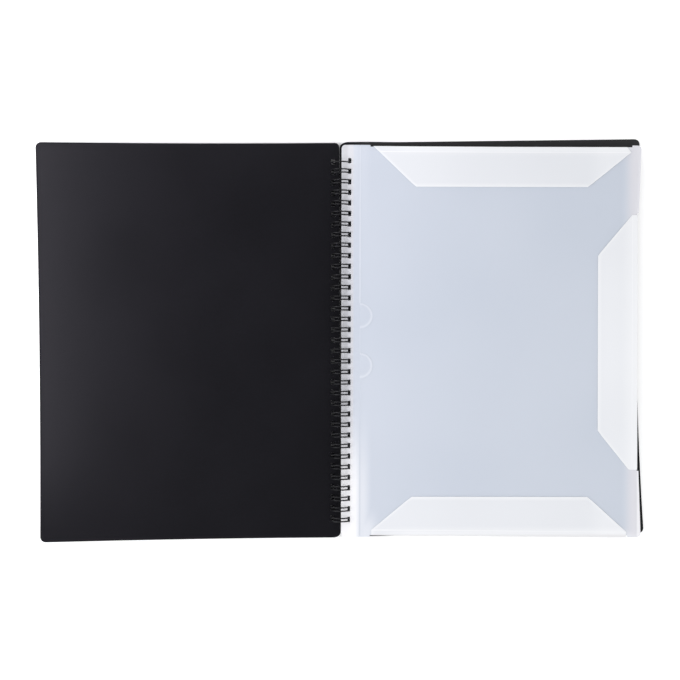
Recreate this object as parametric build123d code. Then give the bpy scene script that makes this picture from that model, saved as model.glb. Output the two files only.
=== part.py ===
from build123d import *
import math
import os

os.makedirs("parts", exist_ok=True)

# All sizes are in mm. X runs across the open book, Y along the binding, Z up from the table.
# The binding's ring axis lies along Y at x = 0. The book lies open, front cover left, leaves right.

# Binding wire: twin loops at three to the inch, closed round one axis. The row of loops sits a little
# below the middle of the covers, and the leaves a little below the row.
loop_pitch = 25.4 / 3
wire_diameter = 1.0
ring_radius = 7.6
leg_spacing = 2.6
root_bend_radius = 1.1
root_angle = 284.0
tip_angle = 259.0
end_stub = 1.0
loop_shift = -0.7

# Covers: black sheet with rounded corners. The back cover is bent down from the ring and lies flat on the
# table, and the front cover bows up to its free edge. Both sit askew on the wire.
cover_width = 242.0
cover_height = 318.5
cover_thickness = 0.8
cover_corner = 4.5
cover_edge_gap = 0.5
cover_ring_depth = 4.3
cover_bend_start = 16.0
cover_bend_run = 36.0
cover_hole_length = 3.0
front_lift = 15.0
front_skew = 0.6
front_shift = -0.1
back_skew = 0.7
back_shift = 0.1

# Leaves: the wallet leaf on top and the clear pockets below it, all leaning down to the right.
leaf_width = 240.8
leaf_height = 314.5
leaf_edge_gap = 0.6
leaf_tilt = 0.85
leaf_shift = -1.4
leaf_corner = 3.0
leaf_hole_length = 3.2
leaf_hole_centre = 7.5
hole_height = 4.2
hole_end_margin = 10.0

# Clear pockets: two films welded along three sides, open at the top edge.
pocket_count = 20
pocket_width = 233.0
pocket_height = 305.0
film_thickness = 0.06
pocket_mouth = 0.08
pocket_gap = 0.10
lowest_pocket = -3.5
binding_weld = 16.0
side_weld = 2.0

# Three-flap wallet: one frosted sheet, creased, with three flaps and two half-moon tabs.
wallet_thickness = 0.4
wallet_gap = 0.15
crease_inset = 14.9
crease_gap = 0.2
tab_radius = 10.2
tab_offset = 20.0
tab_kerf = 0.2
fold_inset = 0.9
side_fold_inset = 2.9
rim_width = 0.4
rim_gap = 0.1
gusset_width = 4.4
flap_lift = 0.55
gusset_foot = 0.1
flap_corner = 2.5
flap_end_gap = 0.2
top_flap_start = 23.3
top_flap_end_inset = 7.5
top_flap_depth = 32.2
bottom_flap_end_inset = 10.9
bottom_flap_depth = 31.4
side_flap_depth = 32.0
side_flap_upper = 102.6
side_flap_lower = 103.7
flap_mitre = 1.05
bottom_end_mitre = 0.98
corner_taper = 2.0

# Sizes that follow from those above.
axis_height = math.hypot(ring_radius, leg_spacing / 2) + wire_diameter / 2
loop_count = 1 + int((leaf_height - 2 * hole_end_margin) / loop_pitch)
loop_rows = [loop_shift + ((loop_count - 1) / 2 - k) * loop_pitch for k in range(loop_count)]
cover_drop = axis_height - cover_ring_depth - cover_thickness / 2
cover_hole_centre = math.sqrt(ring_radius**2 - cover_ring_depth**2)
pocket_thickness = 2 * film_thickness + pocket_mouth
pocket_pitch = pocket_thickness + pocket_gap
wallet_base = lowest_pocket + pocket_count * pocket_pitch - pocket_gap + wallet_gap
wallet_top = wallet_base + wallet_thickness
leaf_end = leaf_edge_gap + leaf_width
crease_line = leaf_edge_gap + crease_inset


def ring_spot(angle, along, y):
    # A point at the ring's angle, moved along the tangent there.
    turn = math.radians(angle)
    x = ring_radius * math.cos(turn) - along * math.sin(turn)
    z = ring_radius * math.sin(turn) + along * math.cos(turn)
    return Vector(x, y, axis_height + z)


def leg_arcs(y, upwards):
    # One leg of a loop: two arcs from the root over the top to the tip, or back.
    start = root_angle - 360
    angles = [start + (tip_angle - start) * i / 4 for i in range(5)]
    if not upwards:
        angles.reverse()
    spots = [ring_spot(a, 0, y) for a in angles]
    return [ThreePointArc(*spots[0:3]), ThreePointArc(*spots[2:5])]


def root_bend(y, leaving):
    # The quarter turn between a leg and the straight root, towards -Y when leaving a leg.
    way = -1 if leaving else 1
    bend = root_bend_radius
    half = bend * math.sqrt(0.5)
    leg = ring_spot(root_angle, 0, y)
    middle = ring_spot(root_angle, -half, y + way * (bend - half))
    root = ring_spot(root_angle, -bend, y + way * bend)
    if leaving:
        return ThreePointArc(leg, middle, root)
    return ThreePointArc(root, middle, leg)


def tip_turn(row):
    # The half turn that closes a loop at its tip.
    half = leg_spacing / 2
    first = ring_spot(tip_angle, 0, row + half)
    apex = ring_spot(tip_angle, half, row)
    last = ring_spot(tip_angle, 0, row - half)
    return ThreePointArc(first, apex, last)


def wire_path():
    # The first loop keeps one leg: the wire is cut at its tip. Each later loop has two.
    half = leg_spacing / 2
    edges = []
    edges += leg_arcs(loop_rows[0] - half, False)
    for before, row in zip(loop_rows, loop_rows[1:]):
        leave = before - half
        arrive = row + half
        edges.append(root_bend(leave, True))
        start = ring_spot(root_angle, -root_bend_radius, leave - root_bend_radius)
        end = ring_spot(root_angle, -root_bend_radius, arrive + root_bend_radius)
        edges.append(Line(start, end))
        edges.append(root_bend(arrive, False))
        edges += leg_arcs(arrive, True)
        edges.append(tip_turn(row))
        edges += leg_arcs(row - half, False)
    last = loop_rows[-1] - half
    edges.append(root_bend(last, True))
    start = ring_spot(root_angle, -root_bend_radius, last - root_bend_radius)
    end = ring_spot(root_angle, -root_bend_radius, last - root_bend_radius - end_stub)
    edges.append(Line(start, end))
    return edges


def least_wire_gap(edges):
    # The least clear space between stretches of wire that are apart along the wire, on two whole loops.
    spots = []
    run = 0.0
    for edge in edges[:18]:
        steps = max(4, int(edge.length / 0.25))
        for i in range(steps):
            spots.append((run + edge.length * i / steps, edge @ (i / steps)))
        run += edge.length
    least = 1e9
    for i, (here, a) in enumerate(spots):
        for there, b in spots[i + 1:]:
            if there - here > 5 * wire_diameter:
                least = min(least, (a - b).length)
    return least - wire_diameter


def hole_grid(centre, length, shift, lean=0.0):
    # Flat outlines of the row of punched holes, one for each loop, in a sheet that is moved by the shift later.
    # The lean moves each hole with its row, so that the holes of a sheet that sits askew stay on the wire.
    return [Pos(centre + lean * row, row - shift) * Rectangle(length, hole_height) for row in loop_rows]


def cover_section(lift):
    # The cover seen along the binding: level at the ring, then one large arc up to its free edge, or with no lift
    # two equal bends down to the table and level from there.
    half = cover_thickness / 2
    start = cover_edge_gap
    first = cover_bend_start
    end = start + cover_width
    top = -cover_ring_depth

    def rising_line(side):
        bow = 2 * math.atan(lift / (end - first))
        reach = (end - first) / math.sin(bow)
        arc = reach - side * half
        rising = [(first + arc * math.sin(t), top + reach - arc * math.cos(t)) for t in (0, bow / 2, bow)]
        return [Line((start, top + side * half), rising[0]), ThreePointArc(*rising)]

    def falling_line(side):
        bend = 2 * math.atan(cover_drop / cover_bend_run)
        radius = cover_bend_run / (2 * math.sin(bend))
        second = first + cover_bend_run
        low = top - cover_drop
        outer = radius + side * half
        inner = radius - side * half
        falling = [(first + outer * math.sin(t), top - radius + outer * math.cos(t)) for t in (0, bend / 2, bend)]
        easing = [(second - inner * math.sin(t), low + radius - inner * math.cos(t)) for t in (bend, bend / 2, 0)]
        return [
            Line((start, top + side * half), falling[0]),
            ThreePointArc(*falling),
            ThreePointArc(*easing),
            Line(easing[2], (end, low + side * half)),
        ]

    face_line = rising_line if lift > 0 else falling_line
    upper = face_line(1)
    lower = face_line(-1)
    ends = [Line(upper[0] @ 0, lower[0] @ 0), Line(upper[-1] @ 1, lower[-1] @ 1)]
    return make_face(Wire(upper + lower + ends))


def build_cover(lift, shift, lean):
    # A right-hand cover in its own frame, with the ring axis at the origin.
    section = Plane.XZ * cover_section(lift)
    sheet = extrude(section, amount=cover_height / 2, both=True)
    corners = [edge for edge in sheet.edges() if abs(edge.length - cover_thickness) < cover_thickness / 100]
    sheet = fillet(corners, cover_corner)
    outlines = hole_grid(cover_hole_centre, cover_hole_length, shift, lean)
    holes = extrude(Sketch() + outlines, amount=2 * cover_ring_depth)
    return sheet - Pos(0, 0, -2 * cover_ring_depth) * holes


def place_cover(cover, skew, shift):
    return Pos(0, 0, axis_height) * Rot(0, 0, skew) * Pos(0, shift, 0) * cover


def place_leaf(leaf):
    # From a leaf's own frame, flat with the ring axis at the origin, into the book.
    return Pos(0, leaf_shift, axis_height) * Rot(0, leaf_tilt, 0) * leaf


def build_pocket():
    # One clear pocket with its lowest face at z = 0.
    middle = leaf_edge_gap + pocket_width / 2
    outline = Pos(middle, 0) * Rectangle(pocket_width, pocket_height)
    holes = hole_grid(leaf_hole_centre, leaf_hole_length, leaf_shift)
    sheet = extrude(outline - holes, amount=pocket_thickness)
    inside_width = pocket_width - binding_weld - side_weld
    inside = Box(inside_width, pocket_height, pocket_mouth, align=(Align.MIN, Align.CENTER, Align.MIN))
    return sheet - Pos(leaf_edge_gap + binding_weld, side_weld, film_thickness) * inside


def build_strip():
    # The wallet's binding strip, from the punched edge to the crease.
    end = crease_line - crease_gap / 2
    width = end - leaf_edge_gap
    outline = Pos(leaf_edge_gap + width / 2, 0) * Rectangle(width, leaf_height)
    outer = outline.vertices().sort_by(Axis.X)[0:2]
    outline = fillet(outer, leaf_corner)
    outline -= hole_grid(leaf_hole_centre, leaf_hole_length, leaf_shift)
    return Pos(0, 0, wallet_base) * extrude(outline, amount=wallet_thickness)


def half_disc(radius, middle):
    # A half-moon with its straight side on the crease.
    start = crease_line + crease_gap / 2
    box = Pos(start, middle) * Rectangle(2 * radius, 2 * radius, align=(Align.MIN, Align.CENTER))
    return (Pos(crease_line, middle) * Circle(radius)) & box


def build_tab(middle):
    return Pos(0, 0, wallet_base) * extrude(half_disc(tab_radius - tab_kerf, middle), amount=wallet_thickness)


def flap_ends():
    # Each flap's fold line, where along it the flap starts and ends, its depth, and the slope of both ends.
    top_fold = leaf_height / 2 - fold_inset
    side_fold = leaf_end - side_fold_inset
    start = leaf_edge_gap + top_flap_start
    return {
        "top": (top_fold, start, leaf_end - top_flap_end_inset, top_flap_depth, flap_mitre, flap_mitre),
        "bottom": (
            top_fold, start, leaf_end - bottom_flap_end_inset, bottom_flap_depth, flap_mitre, bottom_end_mitre
        ),
        "side": (side_fold, -side_flap_lower, side_flap_upper, side_flap_depth, flap_mitre, flap_mitre),
    }


def build_panel():
    # The wallet's back panel, notched where the flaps fold up and slit round the tabs. Its free edge is cut back
    # a little from the corners towards the side flap.
    start = crease_line + crease_gap / 2
    half = leaf_height / 2
    waist = leaf_end - corner_taper
    outline = make_face(Polyline(
        (start, half),
        (leaf_end, half),
        (waist, side_flap_upper),
        (waist, -side_flap_lower),
        (leaf_end, -half),
        (start, -half),
        close=True,
    ))
    outer = [vertex for vertex in outline.vertices() if vertex.X > leaf_end - corner_taper / 2]
    outline = fillet(outer, leaf_corner)
    for name, (fold, low, high, *shape) in flap_ends().items():
        long = high - low + 2 * flap_end_gap
        middle = (low + high) / 2
        edge = fold - rim_width - rim_gap
        if name == "top":
            notch = Pos(middle, edge) * Rectangle(long, leaf_height, align=(Align.CENTER, Align.MIN))
        elif name == "bottom":
            notch = Pos(middle, -edge) * Rectangle(long, leaf_height, align=(Align.CENTER, Align.MAX))
        else:
            notch = Pos(edge, middle) * Rectangle(leaf_width, long, align=(Align.MIN, Align.CENTER))
        outline -= notch
    for middle in (tab_offset, -tab_offset):
        outline -= half_disc(tab_radius, middle)
    return Pos(0, 0, wallet_base) * extrude(outline, amount=wallet_thickness)


def build_flap(length, depth, left_mitre, right_mitre):
    # A flap in its own frame: fold line along X at y = 0, reaching towards -Y, panel's top face at z = 0.
    # It rises on a rim, slopes inwards across the gusset, then lies level above the panel.
    rise = flap_lift + wallet_thickness
    section = Polyline(
        (0, -wallet_thickness),
        (-rim_width, -wallet_thickness),
        (-rim_width, gusset_foot),
        (-gusset_width, flap_lift),
        (-depth, flap_lift),
        (-depth, rise),
        (-gusset_width, rise),
        (0, gusset_foot + wallet_thickness),
        close=True,
    )
    sheet = extrude(Plane.YZ * make_face(section), amount=length / 2, both=True)
    outline = make_face(Polyline(
        (-length / 2, 0),
        (length / 2, 0),
        (length / 2 - depth * right_mitre, -depth),
        (-length / 2 + depth * left_mitre, -depth),
        close=True,
    ))
    outline = fillet(outline.vertices().sort_by(Axis.Y)[0:2], flap_corner)
    cutter = extrude(outline, amount=2 * rise, both=True)
    return sheet & cutter


def place_flap(name):
    # Turns and moves a flap onto its fold of the panel.
    fold, low, high, depth, low_mitre, high_mitre = flap_ends()[name]
    middle = (low + high) / 2
    if name == "top":
        flap = build_flap(high - low, depth, low_mitre, high_mitre)
        return Pos(middle, fold, wallet_top) * flap
    flap = build_flap(high - low, depth, high_mitre, low_mitre)
    if name == "bottom":
        return Pos(middle, -fold, wallet_top) * Rot(0, 0, 180) * flap
    return Pos(fold, middle, wallet_top) * Rot(0, 0, -90) * flap


path = wire_path()
print("loops", loop_count, "least gap between stretches of wire", round(least_wire_gap(path), 3))
start_plane = Plane(origin=path[0] @ 0, z_dir=path[0] % 0)
wire = sweep(start_plane * Circle(wire_diameter / 2), path=Wire(path))

back = build_cover(0, back_shift, math.tan(math.radians(back_skew)))
front = mirror(build_cover(front_lift, front_shift, -math.tan(math.radians(front_skew))), about=Plane.YZ)
pocket = build_pocket()

nodes = {
    "binding_wire": wire,
    "back_cover": place_cover(back, back_skew, back_shift),
    "front_cover": place_cover(front, front_skew, front_shift),
    "wallet_strip": place_leaf(build_strip()),
    "wallet_panel": place_leaf(build_panel()),
    "wallet_top_flap": place_leaf(place_flap("top")),
    "wallet_side_flap": place_leaf(place_flap("side")),
    "wallet_bottom_flap": place_leaf(place_flap("bottom")),
    "wallet_upper_tab": place_leaf(build_tab(tab_offset)),
    "wallet_lower_tab": place_leaf(build_tab(-tab_offset)),
}
for k in range(pocket_count):
    level = lowest_pocket + (pocket_count - 1 - k) * pocket_pitch
    nodes[f"pocket_{k + 1:02d}"] = place_leaf(Pos(0, 0, level) * pocket)

for name, shape in nodes.items():
    export_step(shape, f"parts/{name}.step")
    size = shape.bounding_box().size
    print(name, "solids", len(shape.solids()), "valid", shape.is_valid, "size", size)
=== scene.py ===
import math
import bpy
import numpy as np
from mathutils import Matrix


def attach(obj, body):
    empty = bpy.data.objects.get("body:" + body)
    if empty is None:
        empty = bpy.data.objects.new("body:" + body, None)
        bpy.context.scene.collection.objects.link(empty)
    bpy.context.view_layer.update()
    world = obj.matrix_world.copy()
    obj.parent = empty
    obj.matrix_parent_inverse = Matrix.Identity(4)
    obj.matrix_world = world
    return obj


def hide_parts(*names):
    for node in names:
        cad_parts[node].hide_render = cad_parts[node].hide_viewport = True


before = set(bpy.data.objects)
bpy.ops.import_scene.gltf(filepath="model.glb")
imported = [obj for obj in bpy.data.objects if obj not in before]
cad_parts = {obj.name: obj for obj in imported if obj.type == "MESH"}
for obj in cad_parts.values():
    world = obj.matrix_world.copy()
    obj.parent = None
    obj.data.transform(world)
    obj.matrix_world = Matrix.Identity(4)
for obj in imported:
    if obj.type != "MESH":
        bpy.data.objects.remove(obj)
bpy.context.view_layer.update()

mm = 0.001
studio = bpy.context.scene
studio.view_settings.view_transform = "Standard"
studio.cycles.transparent_max_bounces = 72  # the clear pockets lie twenty deep
print("frame loaded:", len(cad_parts), "nodes")


class Sock:  # a socket that takes part in sums: each operator adds one Math node
    def __init__(self, tree, socket=None):
        self.tree = tree
        self.socket = socket

    def node(self, kind, settings=None, inputs=None, out=0):  # any node: its type, settings, values or links
        made = self.tree.nodes.new(kind)
        for name, value in (settings or {}).items():
            setattr(made, name, value)
        for name, value in (inputs or {}).items():
            if isinstance(value, Sock):
                self.tree.links.new(value.socket, made.inputs[name])
            else:
                made.inputs[name].default_value = value
        return Sock(self.tree, made.outputs[out] if len(made.outputs) else None)

    def maths(self, operation, *values):
        return self.node("ShaderNodeMath", {"operation": operation}, dict(enumerate(values)))

    def __add__(self, other):
        return self.maths("ADD", self, other)

    def __radd__(self, other):
        return self.maths("ADD", other, self)

    def __sub__(self, other):
        return self.maths("SUBTRACT", self, other)

    def __rsub__(self, other):
        return self.maths("SUBTRACT", other, self)

    def __mul__(self, other):
        return self.maths("MULTIPLY", self, other)

    def __rmul__(self, other):
        return self.maths("MULTIPLY", other, self)

    def __abs__(self):
        return self.maths("ABSOLUTE", self)


def larger(first, second):
    return first.maths("MAXIMUM", first, second)


def smaller(first, second):
    return first.maths("MINIMUM", first, second)


def newFinish(name):
    finish = bpy.data.materials.new(name)
    finish.use_nodes = True
    finish.node_tree.nodes.clear()
    return finish, Sock(finish.node_tree)


def objectPlace(start, stretch=None):  # Object coordinates, stretched for a drawn-out grain
    place = start.node("ShaderNodeTexCoord", out="Object")
    if stretch is None:
        return place
    return start.node("ShaderNodeMapping", None, {"Vector": place, "Scale": stretch})


def axis(place, letter):  # one coordinate of a place
    return place.node("ShaderNodeSeparateXYZ", None, {0: place}, out=letter)


def rimOf(start):  # how much paler or darker a mesh is at its points: painted highlights on the leaf's cuts and folds, the covers' darker rim
    return start.node("ShaderNodeAttribute", {"attribute_name": "rim"}, out="Fac")


def noise(place, grain, detail=2.0, rough=0.5):  # grain is a blotch's size in mm, the value lies round 0.5
    sockets = {"Vector": place, "Scale": 1 / (grain * mm), "Detail": detail, "Roughness": rough}
    return place.node("ShaderNodeTexNoise", None, sockets)


def ramp(value, run, levels=(0.0, 1.0)):  # smooth step: over the run, the first level turns into the second
    sockets = {"Value": value, "From Min": run[0], "From Max": run[1]}
    sockets |= {"To Min": levels[0], "To Max": levels[1]}
    return value.node("ShaderNodeMapRange", {"interpolation_type": "SMOOTHSTEP"}, sockets)


def blendColour(factor, first, last):  # each colour is three values or a socket
    ends = [colour if isinstance(colour, Sock) else (*colour, 1) for colour in (first, last)]
    return factor.node("ShaderNodeMix", {"data_type": "RGBA"}, {0: factor, 6: ends[0], 7: ends[1]}, out=2)


def bump(height, distance, strength, under=None):  # distance in mm
    sockets = {"Height": height, "Distance": distance * mm, "Strength": strength}
    if under is not None:
        sockets["Normal"] = under
    return height.node("ShaderNodeBump", None, sockets)


def closeFinish(start, sockets):
    shader = start.node("ShaderNodeBsdfPrincipled", None, sockets)
    start.node("ShaderNodeOutputMaterial", None, {"Surface": shader})


# the black sheet of both covers: fine pressed grain, faint drawn-out scuffs, duller and darker along its rim;
# a painted sheen makes the part of the back cover that shows above the leaves a little paler
coverLook = dict(
    dark=(0.0030, 0.0029, 0.0045), pale=(0.0064, 0.0060, 0.0090), rim=(0.0020, 0.0019, 0.0030),
    paintedSheen=(0.038, 0.0375, 0.0385), grain=0.75, cloud=70.0, scuff=9.0, scuffStretch=(1, 9, 1),
    grainRun=(0.30, 0.72), cloudRun=(0.3, 0.7), scuffRun=(0.55, 0.8), sheenAcross=(0.008, 0.020),
    sheenUp=(0.1535, 0.1560), rough=0.37, gloss=0.17,
)


def coverFinish():
    look = coverLook
    finish, start = newFinish("blackCoverSheet")
    place = objectPlace(start)
    grain = noise(place, look["grain"], 3.0, 0.6)
    cloud = noise(place, look["cloud"])
    scuff = noise(objectPlace(start, look["scuffStretch"]), look["scuff"], 3.0, 0.65)
    rim = rimOf(start)
    wear = ramp(grain, look["grainRun"]) * 0.55 + ramp(cloud, look["cloudRun"]) * 0.2
    wear = wear + ramp(scuff, look["scuffRun"]) * 0.2
    colour = blendColour(wear, look["dark"], look["pale"])
    colour = blendColour(rim * 0.8, colour, look["rim"])
    # painted sheen: the back cover's strip above the leaves is painted paler, in place of light it would catch
    paintedSheenMask = ramp(axis(place, "X"), look["sheenAcross"]) * ramp(axis(place, "Y"), look["sheenUp"])
    colour = blendColour(paintedSheenMask * (0.45 + grain * 0.5), colour, look["paintedSheen"])
    rough = look["rough"] + (grain - 0.5) * 0.18 + (cloud - 0.5) * 0.10 + rim * 0.45
    closeFinish(start, {"Base Color": colour, "Roughness": rough, "Normal": bump(grain, 0.05, 0.35),
                        "Specular IOR Level": look["gloss"]})
    return finish


# black coated wire: satin skin with a slight ripple
wireLook = dict(dark=(0.004, 0.004, 0.005), pale=(0.009, 0.009, 0.011), ripple=0.9, cloud=5.0,
                cloudRun=(0.3, 0.7), rough=0.40, gloss=0.22)


def wireFinish():
    look = wireLook
    finish, start = newFinish("blackCoatedWire")
    place = objectPlace(start)
    ripple = noise(place, look["ripple"])
    cloud = noise(place, look["cloud"])
    colour = blendColour(ramp(cloud, look["cloudRun"]), look["dark"], look["pale"])
    rough = look["rough"] + (ripple - 0.5) * 0.16
    closeFinish(start, {"Base Color": colour, "Roughness": rough, "Normal": bump(ripple, 0.04, 0.30),
                        "Specular IOR Level": look["gloss"]})
    return finish


# frosted see-through sheet of the wallet leaf: bluish white, fine frost, soft waves, cut rims painted bright
# as a painted highlight; flaps lie double, so the same sheet looks whiter there; towards the edges come
# painted light beside the strip, painted shade under the wire loops and a greyer band near the side fold
frostLook = dict(
    cool=(0.680, 0.732, 0.822), pale=(0.775, 0.808, 0.876), rim=(0.95, 0.945, 0.955), near=0.12, far=0.0,
    alpha=0.68, rimAlpha=0.97, glow=0.36, corner=1.0, shade=0.0, rough=0.40, gloss=0.45,
    edgeBands=(((0.0115, 0.0091), (0.785, 0.795, 0.836)), ((0.0068, 0.0044), (0.685, 0.692, 0.722)),
          ((0.2270, 0.2360), (0.727, 0.724, 0.788))),
)
flapLook = dict(
    cool=(0.778, 0.794, 0.826), pale=(0.865, 0.876, 0.902), rim=(0.95, 0.95, 0.955), near=0.0, far=0.55,
    alpha=0.90, rimAlpha=0.98, glow=0.35, corner=0.0, shade=0.75, rough=0.42, gloss=0.45, edgeBands=(),
)
# soft changes of the leaf's tone: the run in m, across the book or along the binding, and the two levels
leafTone = dict(
    frost=0.5, wave=55.0, cloud=120.0, cloudRun=(0.3, 0.7), middle=-0.0014, crease=0.01555,
    dim=(0.755, 0.750, 0.755), near=((0.014, 0.090), (1.0, 0.0)), far=((0.195, 0.215), (0.0, 1.0)),
    onStrip=((0.0115, 0.0165), (1.0, 0.45)), besideStrip=((0.0180, 0.0260), (1.0, 0.0)),
    creaseLine=((0.0002, 0.0010), (0.45, 1.0)), lowEnd=((-0.048, -0.128), (0.0, 0.86)),
    highEnd=((0.07, 0.15), (0.0, 0.17)), sideFold=((0.2240, 0.2375), (0.0, 1.0)),
    endFolds=((0.1475, 0.1545), (0.0, 1.0)), fromBinding=((0.025, 0.060), (0.0, 1.0)),
    sideRim=((0.2376, 0.2390), (0.0, 1.0)), besideFlap=((0.098, 0.108), (0.35, 0.0)),
    cornerUp=((-0.132, -0.154), (0.0, 1.0)), cornerIn=((0.0165, 0.0190), (0.0, 1.0)),
    cornerOut=((0.022, 0.034), (0.42, 0.0)), lowFold=(-0.1555, -0.1578),
)


def paleZones(across, up, look):  # how white the sheet is at the strip's ends, the folds and the low corner
    tone = leafTone
    ends = ramp(across, *tone["onStrip"]) * ramp(across, *tone["besideStrip"])
    ends = ends * ramp(abs(across - tone["crease"]), *tone["creaseLine"])  # painted shade: the crease is a thin grey line
    ends = ends * (ramp(up, *tone["lowEnd"]) + ramp(up, *tone["highEnd"]))
    border = larger(ramp(across, *tone["sideFold"]), ramp(abs(up - tone["middle"]), *tone["endFolds"]))
    border = border * ramp(across, *tone["fromBinding"]) * look["glow"]
    border = border + ramp(across, *tone["sideRim"]) * ramp(up, *tone["besideFlap"])
    corner = ramp(up, *tone["cornerUp"]) * ramp(across, *tone["cornerIn"]) * ramp(across, *tone["cornerOut"])
    return smaller(larger(larger(ends, corner * look["corner"]), border), 1.0)


def frostFinish(name, look):
    tone = leafTone
    finish, start = newFinish(name)
    place = objectPlace(start)
    frost = noise(place, tone["frost"], 2.0, 0.6)
    wave = noise(place, tone["wave"], 1.5)
    cloud = noise(place, tone["cloud"], 1.0)
    across = axis(place, "X")
    up = axis(place, "Y")
    near = ramp(across, *tone["near"])  # the sheet is paler towards the binding
    far = ramp(across, *tone["far"])
    white = larger(rimOf(start), paleZones(across, up, look))
    spread = ramp(cloud, tone["cloudRun"]) * 0.2 + 0.07 + (frost - 0.5) * 0.25
    spread = spread + near * look["near"] + far * look["far"]
    colour = blendColour(spread, look["cool"], look["pale"])
    for run, edgeTone in look["edgeBands"]:  # towards its edges: painted light beside the strip, painted shade under the wire loops, greyer near the side fold
        colour = blendColour(ramp(across, run), colour, edgeTone)
    colour = blendColour(white, colour, look["rim"])
    shade = ramp(up, tone["lowFold"], (0.0, look["shade"]))  # painted shade: the lower fold is a little darker
    colour = blendColour(shade, colour, tone["dim"])
    alpha = look["alpha"] + (cloud - 0.5) * 0.05 + white * (look["rimAlpha"] - look["alpha"])
    rough = look["rough"] + (frost - 0.5) * 0.12 + (wave - 0.5) * 0.10
    normal = bump(frost, 0.03, 0.25, bump(wave, 1.2, 0.25))
    closeFinish(start, {"Base Color": colour, "Roughness": rough, "Alpha": alpha, "Normal": normal,
                        "Specular IOR Level": look["gloss"]})
    return finish


# clear film of the pockets: thin, smooth, with a ribbed weld along three sides; the weld's places are in m
filmLook = dict(
    clear=(0.90, 0.925, 0.955), weld=(0.95, 0.96, 0.975), alpha=0.055, weldAlpha=0.24, rough=0.16, gloss=0.5,
    bindingWeld=0.0165, sideWeld=0.2316, lowWeld=-0.1519, soft=0.0002, ribs=420.0, peel=5.0,
)


def past(value, place):  # a short step from 0 to 1 where the value passes the place
    return ramp(value, (place - filmLook["soft"], place + filmLook["soft"]))


def filmFinish():
    look = filmLook
    finish, start = newFinish("clearFilm")
    place = objectPlace(start)
    peel = noise(place, look["peel"], 1.0)
    across = axis(place, "X")
    binding = 1 - past(across, look["bindingWeld"])
    low = 1 - past(axis(place, "Y"), look["lowWeld"])
    weld = larger(binding, larger(past(across, look["sideWeld"]), low))
    sockets = {"Vector": place, "Scale": look["ribs"]}
    ribs = start.node("ShaderNodeTexWave", {"bands_direction": "DIAGONAL"}, sockets)
    colour = blendColour(weld, look["clear"], look["weld"])
    alpha = look["alpha"] + weld * (look["weldAlpha"] - look["alpha"]) + (peel - 0.5) * 0.02
    rough = look["rough"] + weld * 0.2 + (peel - 0.5) * 0.08
    normal = bump(ribs * weld, 0.04, 0.3, bump(peel, 0.05, 0.10))
    closeFinish(start, {"Base Color": colour, "Roughness": rough, "Alpha": alpha, "Normal": normal,
                        "Specular IOR Level": look["gloss"]})
    return finish


looks = {"cover_sheet": coverFinish(), "coated_wire": wireFinish(), "clear_film": filmFinish(),
         "frosted_sheet": frostFinish("frostedSheet", frostLook),
         "frosted_flap": frostFinish("frostedFlap", flapLook)}
print("finishes ready:", ", ".join(looks))

# sizes in mm that all the pieces share: the ring with its rows of loops, its axis height and the leaves' lean
ring = dict(radius=7.6, legs=2.6, wire=1.0, pitch=25.4 / 3, loops=35, shift=-0.7)
axisHeight = math.hypot(ring["radius"], ring["legs"] / 2) + ring["wire"] / 2
rows = ring["shift"] + (ring["loops"] // 2 - np.arange(ring["loops"])) * ring["pitch"]
leaf = dict(tilt=math.radians(0.85), shift=-1.4, sheetTop=2.95)


def onLeaf(u, v, w):  # from the flat leaf, ring axis at the origin, into the leaning leaf of the book
    x = u * math.cos(leaf["tilt"]) + w * math.sin(leaf["tilt"])
    z = axisHeight - u * math.sin(leaf["tilt"]) + w * math.cos(leaf["tilt"])
    return np.stack([x, v + leaf["shift"] + 0 * x, z], -1)


def gridCells(across, along):  # corner numbers of all the cells of a grid of across by along points
    corner = np.arange((across - 1) * along).reshape(across - 1, along)[:, :-1]
    return np.stack([corner, corner + along, corner + along + 1, corner + 1], -1)


def buildPiece(name, points, cells, look, body, nodes, rim=None, caps=()):
    mesh = bpy.data.meshes.new(name)
    faces = cells.reshape(-1, 4).tolist() + [list(cap) for cap in caps]
    mesh.from_pydata(points.reshape(-1, 3) * mm, [], faces)
    mesh.polygons.foreach_set("use_smooth", np.ones(len(mesh.polygons), bool))
    if rim is not None:
        mesh.attributes.new("rim", "FLOAT", "POINT").data.foreach_set("value", rim.ravel().astype(np.float32))
    mesh.materials.append(looks[look])
    mesh.update()
    piece = bpy.data.objects.new(name, mesh)
    studio.collection.objects.link(piece)
    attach(piece, body)
    if nodes:
        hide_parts(*nodes)
    return piece


def thicken(piece, thickness, rounding, steps=2):  # a sheet gets thickness to both sides and soft cut edges
    solid = piece.modifiers.new("thickness", "SOLIDIFY")
    solid.thickness = thickness * mm
    solid.offset = 0
    solid.use_even_offset = True
    edge = piece.modifiers.new("roundedRim", "BEVEL")
    edge.width = rounding * mm
    edge.segments = steps
    edge.limit_method = "ANGLE"
    edge.angle_limit = math.radians(50)
    flat = piece.modifiers.new("flatFaces", "WEIGHTED_NORMAL")
    flat.weight = 90


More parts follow.
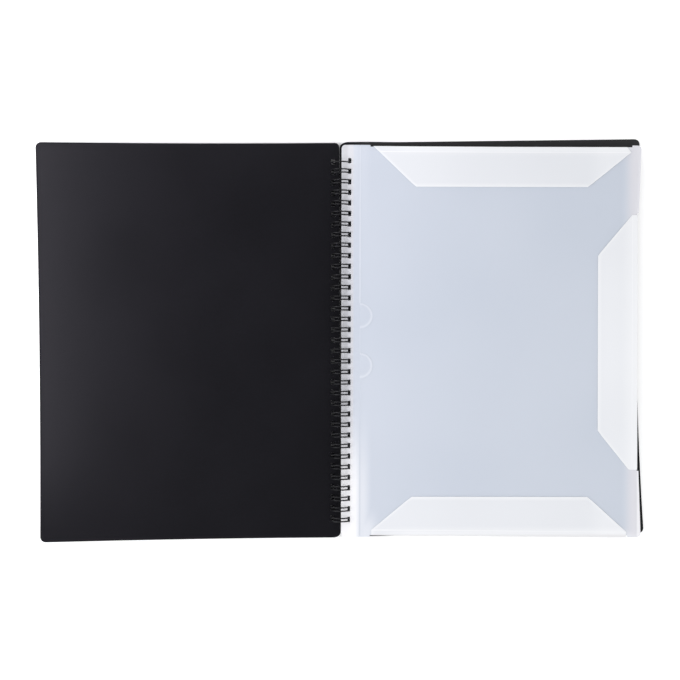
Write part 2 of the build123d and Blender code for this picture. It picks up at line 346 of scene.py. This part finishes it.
def punchedGrid(u, ends, half, corner, rim, holes, holeSpan, holeHeight):
    # a grid over a flat sheet: columns u across, rows v along the binding, laid so that each hole spans whole
    # cells; those cells are left out, and near the ends the outer rows move in on a quarter circle
    margin = 1.5
    inner = half - corner - margin
    outer = np.array([inner, half - rim, half - rim / 2, half])
    between = (holes[:-1] + holes[1:]) / 2
    v = np.sort(np.concatenate([holes + holeHeight / 2, holes - holeHeight / 2, between, outer, -outer]))
    fromEnd = np.minimum(u - ends[0], ends[1] - u)
    inset = corner - np.sqrt(np.clip(corner**2 - np.clip(corner - fromEnd, 0, corner) ** 2, 0, None))
    flatU, flatV = np.meshgrid(u, v, indexing="ij")
    beyond = np.clip(np.abs(flatV) - inner, 0, None)
    flatV = flatV - np.sign(flatV) * beyond * inset[:, None] / (half - inner)
    cellU = (u[:-1] + u[1:]) / 2
    cellV = (v[:-1] + v[1:]) / 2
    inRow = (np.abs(cellV[:, None] - holes[None, :]) < holeHeight / 2).any(1)
    inHole = ((cellU > holeSpan[0]) & (cellU < holeSpan[1]))[:, None] & inRow[None, :]
    cells = gridCells(len(u), len(v))[~inHole]
    edge = np.minimum(fromEnd[:, None], half - inset[:, None] - np.abs(flatV))  # distance from the cut edge
    return flatU, flatV, cells, edge


# covers: rounded black sheets, level at the ring; the back one is bent down to the table, the front one bowed
# up to its free edge
cover = dict(start=0.5, width=242.0, half=159.25, thickness=0.8, corner=4.5, ringDepth=4.3, bendStart=16.0,
             bendRun=36.0, flatStart=58.0, holeLength=3.0, holeHeight=4.2, besideHoles=(3.4, 9.2),
             afterHoles=12.5, leanEnd=15.5, rim=1.5, round=0.28)
# each cover's small departures in mm: waist, reach and slant shape the free edge, trim moves the upper end at
# the ring and at the free edge and then the lower end, inner and upright set the edge at the ring
frontCover = dict(side=-1, lift=15.0, skew=0.6, shift=-0.1, waist=1.25, reach=-0.92, slant=0.42,
                  trim=(-0.64, 0.24, -0.95), inner=0.1, upright=0.5)
backCover = dict(side=1, lift=0.0, skew=0.7, shift=0.1, waist=4.4, reach=0.95, slant=0.0,
                 trim=(-0.25, -0.25, -0.35), inner=0.0, upright=0.2)


def coverHeight(u, lift):  # one large arc lifts the free edge, or two equal arcs carry the sheet to the table
    if lift:
        reach = cover["start"] + cover["width"] - cover["bendStart"]
        arc = reach / math.sin(2 * math.atan(lift / reach))
        return -cover["ringDepth"] + arc - np.sqrt(arc**2 - np.clip(u - cover["bendStart"], 0, None) ** 2)
    drop = axisHeight - cover["ringDepth"] - cover["thickness"] / 2
    turn = 2 * math.atan(drop / cover["bendRun"])
    radius = cover["bendRun"] / (2 * math.sin(turn))
    first = cover["bendStart"]
    last = first + cover["bendRun"]
    top = -cover["ringDepth"]
    falling = top - radius + np.sqrt(radius**2 - np.clip(u - first, 0, cover["bendRun"] / 2) ** 2)
    easing = top - drop + radius - np.sqrt(radius**2 - np.clip(last - u, 0, cover["bendRun"] / 2) ** 2)
    return np.where(u < (first + last) / 2, falling, easing)


def endTrim(style, share):  # at a share of the width: how far the sheet moves along the binding, and grows
    nearRing, nearFree, low = style["trim"]
    high = nearRing + (nearFree - nearRing) * share
    return (high + low) / 2, (high - low) / 2


def coverPiece(name, node, style):
    # a flat punched grid of width u and height v: its ends are trimmed, its free edge draws in by a parabola
    # over the height, it is turned askew and lifted to the height of u; near the ring the columns lean back
    # against the turn, so that every hole stands on the wire
    start, half, corner = cover["start"], cover["half"], cover["corner"]
    end = start + cover["width"]
    before, after = cover["besideHoles"]
    middle = math.sqrt(ring["radius"] ** 2 - cover["ringDepth"] ** 2)
    holeSpan = (middle - cover["holeLength"] / 2, middle + cover["holeLength"] / 2)
    quarter = corner * (1 - np.cos(np.linspace(0, math.pi / 2, 9)))
    u = np.concatenate([
        (start + quarter)[:6], [before, holeSpan[0], middle, holeSpan[1], after, cover["afterHoles"]],
        np.linspace(cover["bendStart"], cover["bendStart"] + cover["bendRun"], 15),
        np.linspace(cover["flatStart"], end - corner - 3, 34), (end - quarter)[::-1],
    ])
    moved, grown = endTrim(style, (middle - start) / (end - start))
    holes = (rows - style["shift"] - moved) / (1 + grown / half)
    sizes = (half, corner, cover["rim"])
    flatU, flatV, cells, edge = punchedGrid(u, (start, end), *sizes, holes, holeSpan, cover["holeHeight"])
    turn = math.radians(style["skew"])
    lean = style["side"] * (flatV + style["shift"]) * math.tan(turn)
    lean = lean * np.interp(flatU, [start, before, after, cover["leanEnd"]], [style["upright"], 1, 1, 0])
    flatU = flatU + style["inner"] * np.interp(flatU, [start, before], [1, 0]) + lean
    share = (flatU - start) / (end - start)
    level = flatV / half
    drawn = (style["reach"] + style["slant"] * level - style["waist"] * (1 - level**2)) * share**2
    moved, grown = endTrim(style, share)
    x = (flatU + drawn) * style["side"]
    y = flatV + style["shift"] + moved + grown * level
    z = axisHeight + coverHeight(flatU, style["lift"])
    turnedX = x * math.cos(turn) - y * math.sin(turn)
    turnedY = x * math.sin(turn) + y * math.cos(turn)
    points = np.stack([turnedX, turnedY, z], -1)
    if style["side"] < 0:
        cells = cells[:, ::-1]
    rim = np.clip(1 - edge / cover["rim"], 0, 1)
    piece = buildPiece(name, points, cells, "cover_sheet", node, [node], rim)
    thicken(piece, cover["thickness"], cover["round"], 3)


coverPiece("frontCoverSheet", "front_cover", frontCover)
coverPiece("backCoverSheet", "back_cover", backCover)
print("covers: two punched sheets")

# binding wire: twin loops round the ring axis, joined by short straight roots; root and tip are in degrees
wire = dict(radius=0.53, bend=1.1, root=284.0, tip=259.0, stub=1.0, sides=12, legSteps=44)


def ringPoint(angle, along, y):  # a place at the ring's angle in degrees, moved along the tangent there
    turn = np.radians(angle)
    x = ring["radius"] * np.cos(turn) - along * np.sin(turn)
    z = ring["radius"] * np.sin(turn) + along * np.cos(turn) + axisHeight
    return np.stack([x, y, z], -1)


def wirePiece():
    # half a loop: from the tip's apex a quarter turn into the leg, the leg round the ring, a quarter turn to
    # the straight root; its mirror image comes before it in a whole loop, and the loops repeat at the pitch
    half = ring["legs"] / 2
    bend = wire["bend"]
    tipTurn = np.linspace(0, math.pi / 2, 7)[:-1]
    legTurn = np.linspace(wire["tip"], wire["root"] - 360, wire["legSteps"])
    rootTurn = np.linspace(0, math.pi / 2, 6)[1:]
    rootWay = np.array([0.5, 1.0]) * (ring["pitch"] / 2 - half - bend)
    tipSteps = len(tipTurn)
    rootSteps = len(rootTurn) + len(rootWay)
    angle = np.concatenate([np.full(tipSteps, wire["tip"]), legTurn, np.full(rootSteps, wire["root"])])
    along = np.concatenate([half * np.cos(tipTurn), 0 * legTurn, -bend * np.sin(rootTurn),
                            0 * rootWay - bend])
    y = np.concatenate([-half * np.sin(tipTurn), 0 * legTurn - half, -half - bend * (1 - np.cos(rootTurn)),
                        -half - bend - rootWay])
    mirrored = ((angle, 1), (along, 1), (y, -1))
    wholeAngle, wholeAlong, wholeY = [
        np.concatenate([way[1:][::-1] * sign, way])[1:] for way, sign in mirrored]
    others = ring["loops"] - 1  # the first loop has one leg only, and the last point gives way to the cut end
    angle = np.concatenate([angle[tipSteps:], np.tile(wholeAngle, others)])[:-1]
    along = np.concatenate([along[tipSteps:], np.tile(wholeAlong, others)])[:-1]
    y = np.concatenate([y[tipSteps:] + rows[0], (wholeY[None, :] + rows[1:, None]).ravel()])[:-1]
    y[-1] = rows[-1] - half - bend - wire["stub"]
    centre = ringPoint(angle, along, y)
    # the ring's outward direction is always square to the wire, so it carries the round profile without twist
    outward = np.stack([np.cos(np.radians(angle)), 0 * y, np.sin(np.radians(angle))], -1)
    sideways = np.cross(np.gradient(centre, axis=0), outward)
    sideways /= np.linalg.norm(sideways, axis=1, keepdims=True)
    turn = np.linspace(0, 2 * math.pi, wire["sides"], endpoint=False)[None, :, None]
    profile = np.cos(turn) * outward[:, None, :] + np.sin(turn) * sideways[:, None, :]
    points = centre[:, None, :] + wire["radius"] * profile
    corner = np.arange(len(centre) * wire["sides"]).reshape(len(centre), wire["sides"])
    after = np.roll(corner, -1, axis=1)
    cells = np.stack([corner[:-1], after[:-1], after[1:], corner[1:]], -1)
    caps = [corner[0][::-1].tolist(), corner[-1].tolist()]
    buildPiece("twinLoopWire", points, cells, "coated_wire", "binding_wire", ["binding_wire"], None, caps)


wirePiece()
print("binding wire:", ring["loops"], "twin loops")

# wallet flaps: one sheet that turns round the fold, dips at the gusset's crease and lies level over the panel;
# each end has a place, a depth from which it draws in, the slope of that mitre and the tuck of the gusset;
# sag gives how far the fold leaves its straight line, at places along it
flap = dict(thickness=0.4, foldEdge=0.5, foldLow=-0.2, level=0.28, gusset=4.4, dip=0.05, dipWidth=0.7,
            lift=0.04, wave=0.02, waveLength=27.0, rim=3.2, edgeHighlight=0.4, round=0.12, corner=0.45,
            cornerRun=1.4, gussetLine=0.6)
flapShapes = {
    "topFlap": dict(node="wallet_top_flap", fold=156.0, depth=32.2, phase=0.4, foldHighlight=0.5,
                    sag=((30, 64, 96, 128), (0.43, 0.2, 0.12, 0.0)),
                    low=(25.9, 0.0, 1.06, 0.0), high=(233.0, 4.4, 1.24, 3.3)),
    "bottomFlap": dict(node="wallet_bottom_flap", fold=156.35, depth=31.4, phase=2.1, foldHighlight=0.1,
                       sag=((30, 80, 160, 220), (-0.3, -0.1, 0.6, 1.1)),
                       low=(24.9, 4.4, 1.187, 0.0), high=(229.7, 4.4, 1.15, 0.5)),
    "sideFlap": dict(node="wallet_side_flap", fold=238.5, depth=32.0, phase=4.0, foldHighlight=0.5,
                     sag=((0, 1), (0.0, 0.0)),
                     low=(-103.0, 7.0, 1.242, 0.0), high=(101.6, 4.4, 1.18, 0.0)),
}


def drawnIn(end, inset):  # how far an end of a flap lies inside its place, at an inset from the fold
    start, slope, tuck = end[1:]
    return slope * np.clip(inset - start, 0, None) + tuck * np.clip(1 - inset / flap["gusset"], 0, 1)


def flapPiece(name, shape):
    # the profile runs from the panel's edge on a half circle over the fold and then inwards; it is carried
    # along the fold, and both ends draw in with the depth; the level part rises with the depth's square
    gusset, depth = flap["gusset"], shape["depth"]
    radius = (flap["level"] - flap["foldLow"]) / 2
    turn = np.linspace(-math.pi / 2, -3 * math.pi / 2, 11)
    dips = gusset + flap["dipWidth"] * np.array([-1, -0.5, 0, 0.5, 1])
    inner = np.concatenate([[1.2, 2.4], dips, np.linspace(gusset + 1.6, depth - flap["rim"], 18), [depth]])
    dip = flap["dip"] * np.clip(1 - np.abs(inner - gusset) / flap["dipWidth"], 0, 1)
    level = flap["level"] + flap["lift"] * np.clip((inner - gusset) / (depth - gusset), 0, 1) ** 2 - dip
    inset = np.concatenate([flap["foldEdge"] + radius * np.cos(turn), inner])[:, None]
    height = np.concatenate([flap["foldLow"] + radius + radius * np.sin(turn), level])[:, None]
    blunt = flap["corner"] * np.clip(1 - (depth - inset) / flap["cornerRun"], 0, 1) ** 2
    begin = shape["low"][0] + drawnIn(shape["low"], inset) + blunt
    finish = shape["high"][0] - drawnIn(shape["high"], inset) - blunt
    between = begin + flap["rim"] + np.linspace(0, 1, 56)[None, :] * (finish - begin - 2 * flap["rim"])
    along = np.concatenate([begin, between, finish], 1)
    share = np.clip((inset - gusset) / (depth - gusset), 0, 1)
    w = leaf["sheetTop"] + height + flap["wave"] * share * np.sin(along / flap["waveLength"] + shape["phase"])
    inset = inset - np.interp(along, *shape["sag"]) * (1 - share)
    if name == "topFlap":
        points = onLeaf(along, shape["fold"] - inset, w)
    elif name == "bottomFlap":
        points = onLeaf(along, inset - shape["fold"], w)
    else:
        points = onLeaf(shape["fold"] - inset, along, w)
    foldRows, dipRows, openRows = slice(3, 9), slice(14, 17), slice(len(turn), None)
    rim = np.zeros(along.shape)
    # painted highlight on the fold: bright on the top and side flaps, faint on the bottom flap
    rim[foldRows] = shape["foldHighlight"]
    rim[dipRows] = flap["gussetLine"] * np.array([[0.5], [1.0], [0.5]])
    # painted highlight: the open cut edges and the inner edge are painted whiter, where they catch the light
    rim[openRows, [0]] = flap["edgeHighlight"]
    rim[openRows, [-1]] = flap["edgeHighlight"]
    rim[-1] = flap["edgeHighlight"]
    cells = gridCells(*along.shape)
    piece = buildPiece(name, points, cells, "frosted_flap", shape["node"], [shape["node"]], rim)
    thicken(piece, flap["thickness"], flap["round"])


for flapName, flapShape in flapShapes.items():
    flapPiece(flapName, flapShape)
print("wallet flaps:", len(flapShapes))

# binding strip of the wallet leaf: punched, with two rounded corners, as far as the crease
strip = dict(start=0.6, end=15.4, half=157.25, corner=3.0, holeSpan=(5.85, 8.05), holeHeight=4.2,
             holeLean=0.0022, besideHoles=(4.7, 10.0), afterHoles=12.5, thickness=0.4, round=0.1, level=-0.2,
             rim=0.8, white=0.15)


def stripPiece():
    # a flat punched grid; the far side of the holes leans with the height, so the holes get longer to the top
    corner = strip["corner"]
    first, last = strip["holeSpan"]
    before, after = strip["besideHoles"]
    quarter = corner * (1 - np.cos(np.linspace(0, math.pi / 2, 8)))
    columns = [before, first, last, after, strip["afterHoles"], strip["end"]]
    u = np.concatenate([strip["start"] + quarter, columns])
    ends = (strip["start"], strip["end"] + corner)
    sizes = (strip["half"], corner, strip["rim"])
    holes = rows - leaf["shift"]
    flatU, flatV, cells, edge = punchedGrid(u, ends, *sizes, holes, strip["holeSpan"], strip["holeHeight"])
    lean = strip["holeLean"] * flatV * np.interp(flatU, [before, first, last, after], [0, 0, 1, 0])
    points = onLeaf(flatU + lean, flatV, leaf["sheetTop"] + strip["level"] + 0 * flatU)
    # painted highlight: the strip's cut edge is painted a little whiter
    rim = strip["white"] * np.clip(1 - edge / strip["rim"], 0, 1)
    piece = buildPiece("bindingStrip", points, cells, "frosted_sheet", "wallet_strip", ["wallet_strip"], rim)
    thicken(piece, strip["thickness"], strip["round"])


stripPiece()

# half-moon tabs: cut from the panel along an arc, hinged on the crease; a soft pale line runs inside the cut
tab = dict(radius=10.4, crease=15.5, middle=20.0, gap=-0.1, level=-0.2, line=9.35, lineUp=0.45,
           lineWidth=0.95, white=0.25, thickness=0.4, round=0.06, spread=87.5, crowding=1.8)


def tabPiece(name, node, middle):
    # rows run straight out from the crease to the arc, closer together near the arc
    turn = np.radians(np.linspace(-tab["spread"], tab["spread"], 61))[:, None]
    reach = tab["radius"] * np.cos(turn) - tab["gap"]
    out = tab["gap"] + reach * (1 - np.linspace(1, 0, 21)[None, :] ** tab["crowding"])
    v = tab["radius"] * np.sin(turn) + 0 * out
    line = np.exp(-(((np.hypot(out, v - tab["lineUp"]) - tab["line"]) / tab["lineWidth"]) ** 2))
    points = onLeaf(tab["crease"] + out, middle + v, leaf["sheetTop"] + tab["level"] + 0 * out)
    cells = gridCells(*out.shape)[..., ::-1]
    piece = buildPiece(name, points, cells, "frosted_sheet", node, [node], tab["white"] * line)
    thicken(piece, tab["thickness"], tab["round"])


tabPiece("upperTab", "wallet_upper_tab", tab["middle"])
tabPiece("lowerTab", "wallet_lower_tab", -tab["middle"])

# pressed bead of the crease between the binding strip and the panel, broken at the two tabs
bead = dict(width=1.5, height=0.06, sunk=0.02, fade=0.8, steps=40, profile=9, whites=(0.22, 0.07, 0.0),
            ends=((30.0, 156.9), (-10.0, 10.0), (-156.9, -30.0)))


def beadPiece():
    # a shallow arch, half a sine wave high, carried along each stretch of the crease
    across = np.linspace(-0.5, 0.5, bead["profile"])
    arch = np.cos(math.pi * across)[None, None, :]
    ends = np.array(bead["ends"])
    share = 0.5 - 0.5 * np.cos(np.linspace(0, math.pi, bead["steps"]))
    v = ends[:, :1] + (ends[:, 1:] - ends[:, :1]) * share[None, :]
    taper = np.clip(np.minimum(v - ends[:, :1], ends[:, 1:] - v) / bead["fade"], 0, 1)
    u = tab["crease"] + bead["width"] * across[None, None, :] + 0 * v[:, :, None]
    w = leaf["sheetTop"] - bead["sunk"] + bead["height"] * arch * taper[:, :, None]
    points = onLeaf(u, v[:, :, None] + 0 * u, w)
    firstPoints = np.arange(len(ends)) * bead["steps"] * bead["profile"]
    cells = gridCells(bead["steps"], bead["profile"])[None] + firstPoints[:, None, None, None]
    rim = arch * (np.array(bead["whites"])[:, None] * taper)[:, :, None]
    buildPiece("creaseBead", points, cells[..., ::-1], "frosted_sheet", "wallet_strip", [], rim)


beadPiece()
print("binding strip, tabs and crease bead")

for node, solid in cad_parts.items():
    if node == "wallet_panel" or node.startswith("pocket_"):
        for slot in solid.material_slots:
            slot.material = looks["frosted_sheet" if node == "wallet_panel" else "clear_film"]
print("panel and pockets keep their solids")

# floor: a pale table top; camera, glossy and transmission rays see it a little brighter, so it shows white;
# this lift begins at the book's edges, given as runs in m from the middle
floor = dict(half=6.0, drop=0.0002, colour=(0.90, 0.90, 0.90), lift=0.34, besideX=(0.222, 0.246),
             besideY=(0.1560, 0.1615))


def floorPiece():
    side = np.linspace(-floor["half"], floor["half"], 3)
    x, y = np.meshgrid(side, side, indexing="ij")
    points = np.stack([x, y, 0 * x - floor["drop"]], -1)
    mesh = bpy.data.meshes.new("tableTop")
    mesh.from_pydata(points.reshape(-1, 3), [], gridCells(3, 3).reshape(-1, 4).tolist())
    finish, start = newFinish("paleTable")
    matt = start.node("ShaderNodeBsdfDiffuse", None, {"Color": (*floor["colour"], 1)})
    kinds = ("Is Camera Ray", "Is Glossy Ray", "Is Transmission Ray")
    rays = [start.node("ShaderNodeLightPath", out=kind) for kind in kinds]
    seen = smaller(rays[0] + rays[1] + rays[2], 1.0)
    place = objectPlace(start)
    besideX = ramp(abs(axis(place, "X")), floor["besideX"])
    besideY = ramp(abs(axis(place, "Y")), floor["besideY"])
    strength = seen * larger(besideX, besideY) * floor["lift"]
    glow = start.node("ShaderNodeEmission", None, {"Color": (1, 1, 1, 1), "Strength": strength})
    surface = start.node("ShaderNodeAddShader", None, {0: matt, 1: glow})
    start.node("ShaderNodeOutputMaterial", None, {"Surface": surface})
    mesh.materials.append(finish)
    piece = bpy.data.objects.new("tableTop", mesh)
    studio.collection.objects.link(piece)


floorPiece()

# studio light: a pale room that is darker overhead, a large soft lamp at the left, a weaker one at the right
# and two narrow strips beside the front cover's outer edges
room = dict(side=1.04, overhead=0.30, turn=(0.50, 1.0), colour=(0.985, 0.992, 1.0))
lamps = {
    "softKey": dict(place=(-1.15, -0.25, 0.85), aim=(-0.10, 0.0, 0.0), size=(0.9, 0.9), power=9.3,
                    tint=(1.0, 1.0, 1.0)),
    "softFill": dict(place=(0.95, -0.35, 1.10), aim=(0.05, 0.0, 0.0), size=(1.0, 1.0), power=4.3,
                     tint=(1.0, 1.0, 1.0)),
    "sideStrip": dict(place=(-0.262, 0.06, 0.30), aim=(-0.29, 0.06, 0.0), size=(0.44, 0.03), power=0.66,
                      tint=(0.93, 0.89, 1.0)),
    "topStrip": dict(place=(-0.13, 0.237, 0.25), aim=(-0.13, 0.266, 0.0), size=(0.32, 0.022), power=0.075,
                     tint=(0.93, 0.89, 1.0)),
}


def lightStudio():
    world = bpy.data.worlds.new("paleRoom")
    studio.world = world
    world.use_nodes = True
    world.node_tree.nodes.clear()
    start = Sock(world.node_tree)
    up = axis(start.node("ShaderNodeTexCoord", out="Generated"), "Z")
    level = ramp(up, room["turn"], (room["side"], room["overhead"]))
    light = start.node("ShaderNodeBackground", None, {"Color": (*room["colour"], 1), "Strength": level})
    start.node("ShaderNodeOutputWorld", None, {"Surface": light})
    for name, lamp in lamps.items():
        data = bpy.data.lights.new(name, "AREA")
        data.shape = "RECTANGLE"
        data.size, data.size_y = lamp["size"]
        data.energy = lamp["power"]
        data.color = lamp["tint"]
        holder = bpy.data.objects.new(name, data)
        holder.location = lamp["place"]
        way = np.array(lamp["aim"]) - np.array(lamp["place"])
        flat = math.hypot(way[0], way[1])
        holder.rotation_euler = (math.atan2(flat, -way[2]), 0, math.atan2(-way[0], way[1]))
        studio.collection.objects.link(holder)


lightStudio()

# camera: nearly straight down from a metre up, as the photograph is taken; focal and frame are in pixels
view = dict(place=(0.010236, 0.002727, 1.0), turn=(-0.195, 0.6186, 0.1041), focal=1232.56, frame=680,
            sensor=36.0)


def setCamera():
    data = bpy.data.cameras.new("camera")
    data.sensor_width = view["sensor"]
    data.lens = view["sensor"] * view["focal"] / view["frame"]
    holder = bpy.data.objects.new("camera", data)
    holder.location = view["place"]
    holder.rotation_euler = [math.radians(angle) for angle in view["turn"]]
    studio.collection.objects.link(holder)
    studio.camera = holder


setCamera()
print("table, lamps and camera set")
